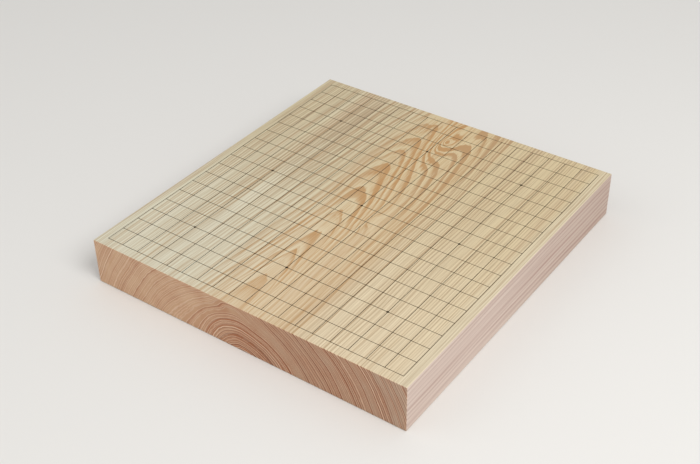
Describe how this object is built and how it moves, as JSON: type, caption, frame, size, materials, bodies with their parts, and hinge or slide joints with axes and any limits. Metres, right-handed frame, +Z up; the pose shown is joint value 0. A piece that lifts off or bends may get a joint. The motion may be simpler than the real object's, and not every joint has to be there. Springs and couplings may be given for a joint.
{
  "type": "table go board",
  "caption": "Solid wood table go board: a thick chamfered slab with raised black lacquer grid lines and star points on its playing face.",
  "frame": {"origin": "centre of the flat underside", "axes": "+X across the grain, +Y along the grain (the board's length), +Z up out of the playing face"},
  "size_m": [0.4242, 0.4544, 0.0595],
  "materials": {
    "wood": "planed and waxed, satin",
    "lacquer": "black lacquer, half gloss"
  },
  "bodies": {
    "root": {"wood_slab": "wood", "lengthwise_line_a": "lacquer", "lengthwise_line_b": "lacquer", "lengthwise_line_c": "lacquer", "lengthwise_line_d": "lacquer", "lengthwise_line_e": "lacquer", "lengthwise_line_f": "lacquer", "lengthwise_line_g": "lacquer", "lengthwise_line_h": "lacquer", "lengthwise_line_j": "lacquer", "lengthwise_line_k": "lacquer", "lengthwise_line_l": "lacquer", "lengthwise_line_m": "lacquer", "lengthwise_line_n": "lacquer", "lengthwise_line_o": "lacquer", "lengthwise_line_p": "lacquer", "lengthwise_line_q": "lacquer", "lengthwise_line_r": "lacquer", "lengthwise_line_s": "lacquer", "lengthwise_line_t": "lacquer", "crosswise_line_1": "lacquer", "crosswise_line_2": "lacquer", "crosswise_line_3": "lacquer", "crosswise_line_4": "lacquer", "crosswise_line_5": "lacquer", "crosswise_line_6": "lacquer", "crosswise_line_7": "lacquer", "crosswise_line_8": "lacquer", "crosswise_line_9": "lacquer", "crosswise_line_10": "lacquer", "crosswise_line_11": "lacquer", "crosswise_line_12": "lacquer", "crosswise_line_13": "lacquer", "crosswise_line_14": "lacquer", "crosswise_line_15": "lacquer", "crosswise_line_16": "lacquer", "crosswise_line_17": "lacquer", "crosswise_line_18": "lacquer", "crosswise_line_19": "lacquer", "star_point_d4": "lacquer", "star_point_d10": "lacquer", "star_point_d16": "lacquer", "star_point_k4": "lacquer", "star_point_k10": "lacquer", "star_point_k16": "lacquer", "star_point_q4": "lacquer", "star_point_q10": "lacquer", "star_point_q16": "lacquer"}
  },
  "joints": []
}
